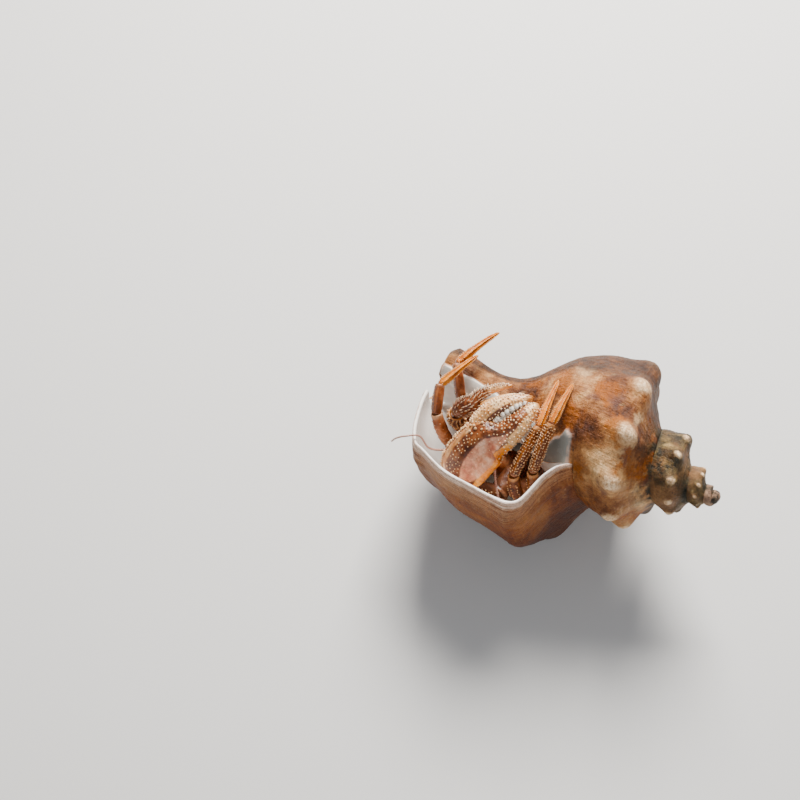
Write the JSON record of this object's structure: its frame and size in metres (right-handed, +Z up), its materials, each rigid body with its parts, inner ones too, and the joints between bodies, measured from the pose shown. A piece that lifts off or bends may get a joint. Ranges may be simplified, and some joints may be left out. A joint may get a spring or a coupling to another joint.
{
  "type": "hermit crab",
  "caption": "Still, life-size hermit crab drawn half back into a knobbed whelk shell that lies on its side, mouth up, with the big claw across the mouth.",
  "frame": {"origin": "on the floor, under the middle of the bounding box", "axes": "+X towards the tip of the spire, along the shell's length; -Y to the side where the mouth's outer lip is; +Z up"},
  "size_m": [0.1036, 0.079, 0.066],
  "materials": {
    "shell": "matt whelk shell, mottled brown and tan, with pale knobs and growth lines",
    "shell_inside": "smooth grey-white glaze inside the mouth and along the lip's edge",
    "shield": "hard brown crust of the head and shoulders",
    "soft_skin": "soft damp skin of the body inside the shell",
    "limb": "dark red-brown crust with cream grains",
    "dactyl": "orange, ridged, shiny leg tips",
    "claw": "brown and mauve claw crust with rows of cream grains",
    "claw_grains": "cream-white grains, spines and claw teeth",
    "eyestalk": "smooth pinkish-tan eyestalks",
    "cornea": "very dark green, wet and shiny",
    "antennule": "thin tan feelers between the eyes",
    "antenna_base": "orange feeler stems",
    "antenna_scale": "pale pointed scales beside the eyes",
    "flagellum": "thin ringed pink-brown feelers",
    "mouthparts": "orange-tan mouthparts"
  },
  "bodies": {
    "root": {"shell": "shell", "shield": "shield", "thorax": "soft_skin", "abdomen_front": "soft_skin", "abdomen_middle": "soft_skin", "abdomen_rear": "soft_skin", "tail_fan": "shield", "major_claw_merus": "limb", "major_claw_carpus": "limb", "major_claw_palm": "claw", "major_claw_finger": "claw", "minor_claw_merus": "limb", "minor_claw_carpus": "limb", "minor_claw_palm": "claw", "minor_claw_finger": "claw", "leg2_left_merus": "limb", "leg2_left_carpus": "limb", "leg2_left_propodus": "limb", "leg2_left_dactyl": "dactyl", "leg2_right_merus": "limb", "leg2_right_carpus": "limb", "leg2_right_propodus": "limb", "leg2_right_dactyl": "dactyl", "leg3_left_merus": "limb", "leg3_left_carpus": "limb", "leg3_left_propodus": "limb", "leg3_left_dactyl": "dactyl", "leg3_right_merus": "limb", "leg3_right_carpus": "limb", "leg3_right_propodus": "limb", "leg3_right_dactyl": "dactyl", "leg4_left": "limb", "leg4_right": "limb", "leg5_left": "limb", "leg5_right": "limb", "eyestalk_left": "eyestalk", "eye_left": "cornea", "antennule_left": "antennule", "antenna_base_left": "antenna_base", "antenna_scale_left": "antenna_scale", "antenna_flagellum_left": "flagellum", "maxilliped_left": "mouthparts", "eyestalk_right": "eyestalk", "eye_right": "cornea", "antennule_right": "antennule", "antenna_base_right": "antenna_base", "antenna_scale_right": "antenna_scale", "antenna_flagellum_right": "flagellum", "maxilliped_right": "mouthparts"}
  },
  "joints": []
}
